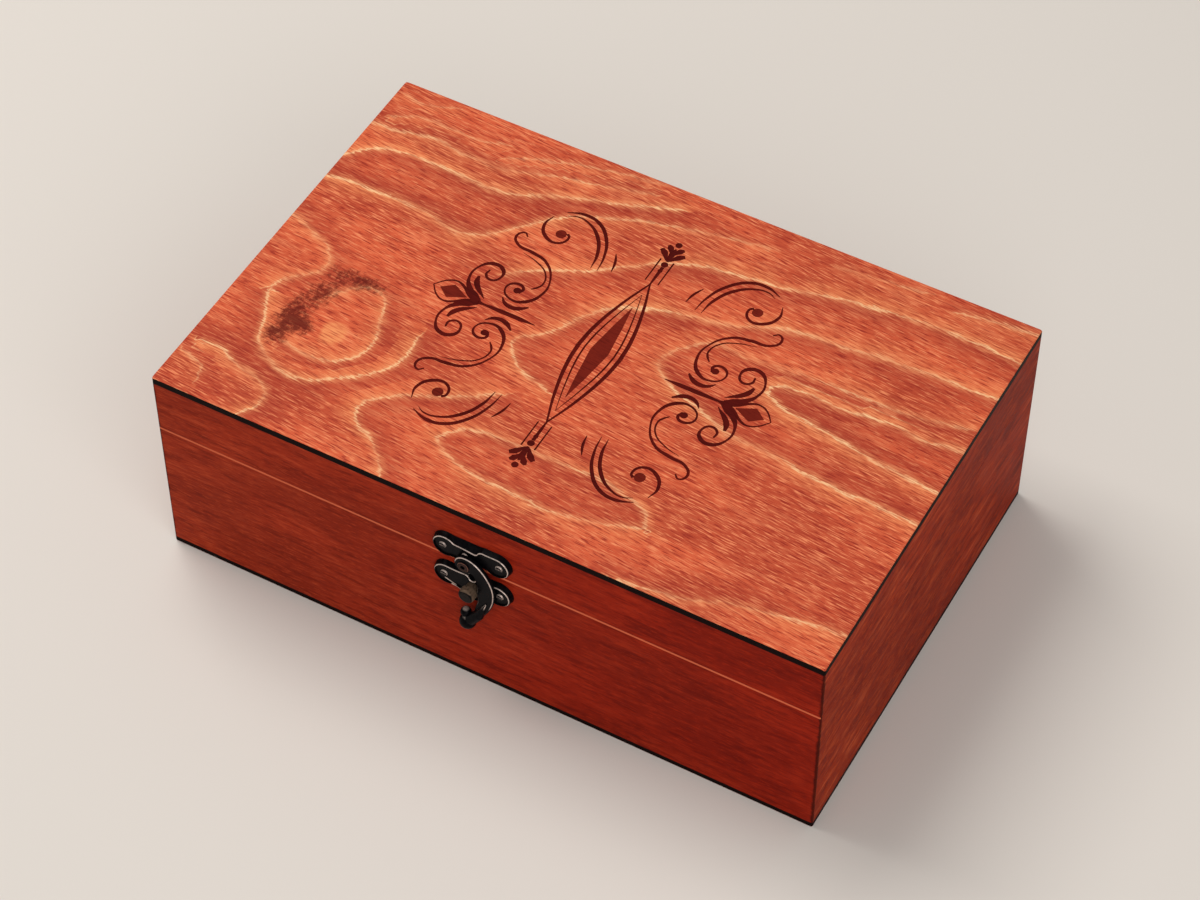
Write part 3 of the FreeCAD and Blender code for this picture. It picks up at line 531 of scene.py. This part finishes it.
def ornament_cutter(top):
    """All the grooves of the ornament as one mesh, with its middle plane at the top of the sheet."""
    cutter = bmesh.new()
    for ways, kind, strokes, dots in ORNAMENT:
        pieces = [groove(stroke, kind) for stroke in strokes]
        for piece in pieces + [dot(*spot, kind) for spot in dots]:
            for across, along in ways:
                copy = piece.copy()
                copy.transform(Matrix.Diagonal((across, along, 1, 1)))
                if across * along < 0:
                    copy.flip_normals()
                cutter.from_mesh(copy)
                bpy.data.meshes.remove(copy)
            bpy.data.meshes.remove(piece)
    bmesh.ops.remove_doubles(cutter, verts=cutter.verts, dist=0.001 * MM)
    bmesh.ops.recalc_face_normals(cutter, faces=cutter.faces)
    bmesh.ops.translate(cutter, vec=ORNAMENT_CENTRE + Vector((0, 0, top)), verts=cutter.verts)
    mesh = bpy.data.meshes.new("ornament_cutter")
    cutter.to_mesh(mesh)
    cutter.free()
    return mesh


GRID = 1.6 * MM
PANEL_EASE = 0.5 * MM
CORNER_EASE = 0.8 * MM
EASE_STEPS = 3


def plain_sheet(low, high):
    """The sheet before it is engraved: a fine grid on top, an eased edge all round, a flat bottom."""
    form = bmesh.new()
    size = high - low
    half = size.xy / 2 - Vector((PANEL_EASE, PANEL_EASE))
    counts = [round(length / GRID) for length in size.xy]
    bmesh.ops.create_grid(form, x_segments=counts[0], y_segments=counts[1], size=1)
    bmesh.ops.scale(form, vec=(half.x, half.y, 1), verts=form.verts)
    rim = [edge for edge in form.edges if edge.is_boundary]
    angles = [math.pi / 2 * step / EASE_STEPS for step in range(1, EASE_STEPS + 1)]
    levels = [(PANEL_EASE * math.sin(angle), PANEL_EASE * (1 - math.cos(angle))) for angle in angles]
    drop = 0.0
    for out, down in levels + [(PANEL_EASE, size.z)]:
        made = bmesh.ops.extrude_edge_only(form, edges=rim)["geom"]
        ring = [part for part in made if isinstance(part, bmesh.types.BMVert)]
        grown = size.xy / 2 - Vector((PANEL_EASE - out, PANEL_EASE - out))
        bmesh.ops.scale(form, vec=(grown.x / half.x, grown.y / half.y, 1), verts=ring)
        bmesh.ops.translate(form, vec=(0, 0, drop - down), verts=ring)
        rim = [part for part in made if isinstance(part, bmesh.types.BMEdge) and part.is_boundary]
        half, drop = grown, down
    bmesh.ops.contextual_create(form, geom=rim)
    middle = (low + high) / 2
    bmesh.ops.translate(form, vec=(middle.x, middle.y, high.z), verts=form.verts)
    corner_edges = []
    for edge in form.edges:
        reach = [abs(vert.co.x - middle.x) + abs(vert.co.y - middle.y) for vert in edge.verts]
        if min(reach) > (size.x + size.y) / 2 - 2 * PANEL_EASE - 0.01 * MM:
            corner_edges.append(edge)
    round_off = {"affect": "EDGES", "profile": 0.5, "material": -1}
    bmesh.ops.bevel(form, geom=corner_edges, offset=CORNER_EASE, segments=4, **round_off)
    bmesh.ops.recalc_face_normals(form, faces=form.faces)
    mesh = bpy.data.meshes.new("engraved_lid_panel")
    form.to_mesh(mesh)
    form.free()
    return mesh


def engraved_panel():
    """The sheet with the ornament cut into it, in its three finishes."""
    low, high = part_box("lid_panel")
    panel = bpy.data.objects.new("engraved_lid_panel", plain_sheet(low, high))
    knife = bpy.data.objects.new("ornament_cutter", ornament_cutter(high.z))
    materials = [
        panel_wood(),
        engraved_wood("engraved lines", tint(92, 18, 12), tint(64, 10, 8)),
        engraved_wood("engraved fields", tint(116, 32, 20), tint(84, 18, 12)),
    ]
    for holder in (panel, knife):
        bpy.context.scene.collection.objects.link(holder)
        for material in materials:
            holder.data.materials.append(material)
    cut = panel.modifiers.new("engraving", "BOOLEAN")
    cut.object, cut.operation, cut.solver, cut.use_self = knife, "DIFFERENCE", "EXACT", True
    cut.material_mode = "TRANSFER"
    bpy.context.view_layer.update()
    evaluated = panel.evaluated_get(bpy.context.evaluated_depsgraph_get())
    finished = bpy.data.meshes.new_from_object(evaluated)
    panel.modifiers.clear()
    panel.data = finished
    bpy.data.objects.remove(knife)
    ring_figure(finished)
    return panel


lid_top = engraved_panel()
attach(lid_top, "lid")
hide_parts("lid_panel")


# THE LATCH. Two zinc castings with raised rims, a cast hook and its knob, blackened and then rubbed
# so that the bare metal shows on their eased edges; where those edges look up or to the right the
# bright metal is also a painted highlight. They are screwed and riveted on.
BLACKENED = tint(6, 5, 7)
# The bright metal of the scuffed edges, which also serves as their painted highlight
BARE_METAL_AND_HIGHLIGHT = tint(214, 192, 180)
# Bronze for the knob's faces that look up: worn bronze and a painted highlight together
BRONZE_WEAR_AND_HIGHLIGHT = tint(154, 126, 102)
METAL_GLOSS = 0.04


def antique_metal(
    name, bare_and_highlight_color, wear_and_highlight, upward_from, front=0.0, rub_faces=0.0, to_side=-0.6, above=0.0, streak=None
):
    """Blackened metal, scuffed through the black and given a painted highlight on slanting faces that
    look up or to the right, as far round to the side as to_side allows, and, where front is given,
    only next to that foremost plane. rub_faces rubs the foremost flat faces a little too. Below a
    height, only what looks straight up gets the painted highlight. streak is one more painted
    highlight line: its middle, half its length, half its width and its slope."""
    material, tree, shader, coordinates = new_material(name)
    place = coordinates["Object"]
    across, forward, up = node(tree, "SeparateXYZ", coordinates["Normal"]).outputs
    slanting = step_up(tree, forward, -0.97, -0.9)
    slanting = product(tree, slanting, step_up(tree, forward, to_side, to_side - 0.08))
    depth, height = node(tree, "SeparateXYZ", place).outputs[1:]
    upper = step_up(tree, height, above + 4 * MM, above + 9 * MM)
    # Slanting faces that look up or to the right, where the light falls, get the bright metal: wear and
    # a painted highlight together
    lifted = maths(tree, "MAXIMUM", product(tree, up, upper), product(tree, across, 0.8))
    rubbed_and_highlit = product(tree, step_up(tree, lifted, upward_from, upward_from + 0.3), slanting)
    if front:
        rubbed_and_highlit = product(tree, rubbed_and_highlit, step_up(tree, depth, front + 0.33 * MM, front + 0.18 * MM))
    rubbed_and_highlit = product(tree, rubbed_and_highlit, step_up(tree, height, above, above + 2.5 * MM))
    lower = step_up(tree, height, above + 1.5 * MM, above)
    # Painted highlight below the given height, on what looks straight up
    upward_highlight_low = product(tree, step_up(tree, up, 0.72, 0.95), lower, 0.35)
    rubbed_and_highlit = maths(tree, "MAXIMUM", rubbed_and_highlit, upward_highlight_low)
    # A painted highlight line along one stretch of rim
    if streak:
        middle, half_length, half_width, slope = streak
        moved = node(tree, "VectorMath", place, middle, operation="SUBTRACT").outputs[0]
        sloped = node(tree, "Mapping", moved, None, (0, slope, 0)).outputs[0]
        beside = node(tree, "SeparateXYZ", sloped).outputs
        within = step_up(tree, maths(tree, "ABSOLUTE", beside[0]), half_length, half_length * 0.85)
        thin = step_up(tree, maths(tree, "ABSOLUTE", beside[2]), half_width, half_width * 0.6)
        rubbed_and_highlit = maths(tree, "MAXIMUM", rubbed_and_highlit, product(tree, within, thin))
    flat = step_up(tree, forward, -0.97, -0.99, 0.0, rub_faces)
    blotch = spots(tree, place, 900.0, 4.0, 0.6)
    speckle = step_up(tree, blotch, 0.3, 0.55, 0.5, 1.0)
    worn_and_highlit = product(tree, maths(tree, "MAXIMUM", rubbed_and_highlit, flat), speckle, wear_and_highlight)
    dark = mixed(tree, step_up(tree, blotch, 0.35, 0.7), BLACKENED, tint(15, 13, 15))
    tree.links.new(mixed(tree, worn_and_highlit, dark, bare_and_highlight_color), shader.inputs["Base Color"])
    tree.links.new(product(tree, worn_and_highlit, 0.5), shader.inputs["Metallic"])
    tree.links.new(step_up(tree, blotch, 0.3, 0.7, 0.26, 0.42), shader.inputs["Roughness"])
    shader.inputs["Specular IOR Level"].default_value = METAL_GLOSS
    relief(tree, shader, spots(tree, place, 1500.0, 3.0, 0.6), 0.05 * MM, 0.4)
    return material


def casting_with_scuffed_and_highlit_edge(name, **others):
    """A plate, or the hook, with its outer edge scuffed and given a painted highlight next to its
    front face, whose place is the foremost one of its top 8 mm."""
    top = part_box(name)[1].z
    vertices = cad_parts[name].data.vertices
    front = min(vertex.co.y for vertex in vertices if vertex.co.z > top - 8 * MM)
    paint(antique_metal(f"blackened {name}", BARE_METAL_AND_HIGHLIGHT, 1.0, -0.1, front, **others), name)


casting_with_scuffed_and_highlit_edge("latch_plate")
# The catch plate's streak is a painted highlight along its lower left rim
casting_with_scuffed_and_highlit_edge("catch_plate", streak=(Vector((-9.0, -88, 51.0)) * MM, 3.8 * MM, 0.35 * MM, -0.352))
# Below 47 mm the hook gets only the painted highlight on faces that look straight up, such as its neck
casting_with_scuffed_and_highlit_edge("latch_hook", above=47 * MM)
# The knob's faces that look up show bronze: wear and a painted highlight
paint(antique_metal("knob with bronze wear and highlight", BRONZE_WEAR_AND_HIGHLIGHT, 0.4, 0.4, rub_faces=0.08, to_side=0.5), "catch_knob")
paint(antique_metal("bronzed rivet", tint(150, 100, 84), 0.6, -0.6, rub_faces=0.2), "hook_rivet")
paint(antique_metal("rubbed pin", BARE_METAL_AND_HIGHLIGHT, 0.8, -1.0, rub_faces=0.3, to_side=0.3), "latch_plate_pin")
screw_metal = antique_metal("rubbed screws", BARE_METAL_AND_HIGHLIGHT, 0.8, -0.3, rub_faces=0.03, to_side=0.3)
paint(screw_metal, "latch_plate_screws", "catch_plate_screws")


# THE HINGES. Two small butt hinges of folded sheet with a bronze wash, screwed to the back with
# sunk screws. The photograph doesn't show them.
def bronze_wash(name, dark, pale):
    material, tree, shader, coordinates = new_material(name)
    blotch = spots(tree, coordinates["Object"], 260.0, 3.0, 0.5)
    tree.links.new(mixed(tree, step_up(tree, blotch, 0.3, 0.7), dark, pale), shader.inputs["Base Color"])
    tree.links.new(step_up(tree, blotch, 0.3, 0.7, 0.3, 0.45), shader.inputs["Roughness"])
    shader.inputs["Metallic"].default_value = 0.8
    relief(tree, shader, spots(tree, coordinates["Object"], 2000.0, 3.0), 0.03 * MM, 0.3)
    return material


leaf_metal = bronze_wash("bronze wash on the leaves", tint(118, 88, 62), tint(138, 106, 76))
screw_head_metal = bronze_wash("darker bronze on screws and pins", tint(66, 48, 36), tint(88, 66, 48))
for hinge in ("hinge_left", "hinge_right"):
    paint(leaf_metal, f"{hinge}_case_leaf", f"{hinge}_lid_leaf")
    paint(screw_head_metal, f"{hinge}_pin", f"{hinge}_case_screws", f"{hinge}_lid_screws")


# THE STUDIO. A plain pale floor, soft light from the upper left behind the box, and a long lens
# that looks down on the front and the right end, as the photograph does.
def studio_floor():
    form = bmesh.new()
    bmesh.ops.create_grid(form, x_segments=1, y_segments=1, size=6)
    mesh = bpy.data.meshes.new("floor")
    form.to_mesh(mesh)
    form.free()
    floor = bpy.data.objects.new("floor", mesh)
    bpy.context.scene.collection.objects.link(floor)
    material, _, shader, _ = new_material("pale floor")
    shader.inputs["Base Color"].default_value = tint(222, 216, 208)
    shader.inputs["Roughness"].default_value = 0.9
    shader.inputs["Specular IOR Level"].default_value = 0.1
    mesh.materials.append(material)


def soft_light(name, place, watts, size, color):
    lamp = bpy.data.lights.new(name, "AREA")
    lamp.energy, lamp.size, lamp.color = watts, size, color
    holder = bpy.data.objects.new(name, lamp)
    holder.location = place
    holder.rotation_euler = (-Vector(place)).to_track_quat("-Z", "Y").to_euler()
    bpy.context.scene.collection.objects.link(holder)


def photo_camera():
    """The photograph's camera, from its fitted angles, distance and lens."""
    azimuth, elevation, roll = math.radians(29.01), math.radians(49.46), math.radians(0.05)
    distance, aside, above = 1.2367, -0.0001, -0.0243
    outward = math.cos(elevation)
    back = Vector((math.sin(azimuth) * outward, -math.cos(azimuth) * outward, math.sin(elevation)))
    level = Vector((math.cos(azimuth), math.sin(azimuth), 0))
    upright = back.cross(level)
    right = math.cos(roll) * level + math.sin(roll) * upright
    up = math.cos(roll) * upright - math.sin(roll) * level
    camera = bpy.data.cameras.new("photo_camera")
    camera.sensor_width = 36
    camera.lens = 100.97
    camera.clip_start = 0.01
    holder = bpy.data.objects.new("photo_camera", camera)
    turn = Matrix((right, up, back)).transposed().to_4x4()
    holder.matrix_world = Matrix.Translation(back * distance - right * aside - up * above) @ turn
    bpy.context.scene.collection.objects.link(holder)
    bpy.context.scene.camera = holder


studio_floor()
soft_light("key", (-0.8, 0.2, 1.5), watts=18, size=1.0, color=(1.0, 0.97, 0.95))
soft_light("fill", (0.9, -0.9, 0.8), watts=9, size=1.2, color=(0.97, 0.98, 1.0))
world = bpy.data.worlds.new("studio")
bpy.context.scene.world = world
world.use_nodes = True
world.node_tree.nodes["Background"].inputs["Color"].default_value = tint(232, 230, 228)
world.node_tree.nodes["Background"].inputs["Strength"].default_value = 0.45
photo_camera()
bpy.context.scene.view_settings.view_transform = "Standard"
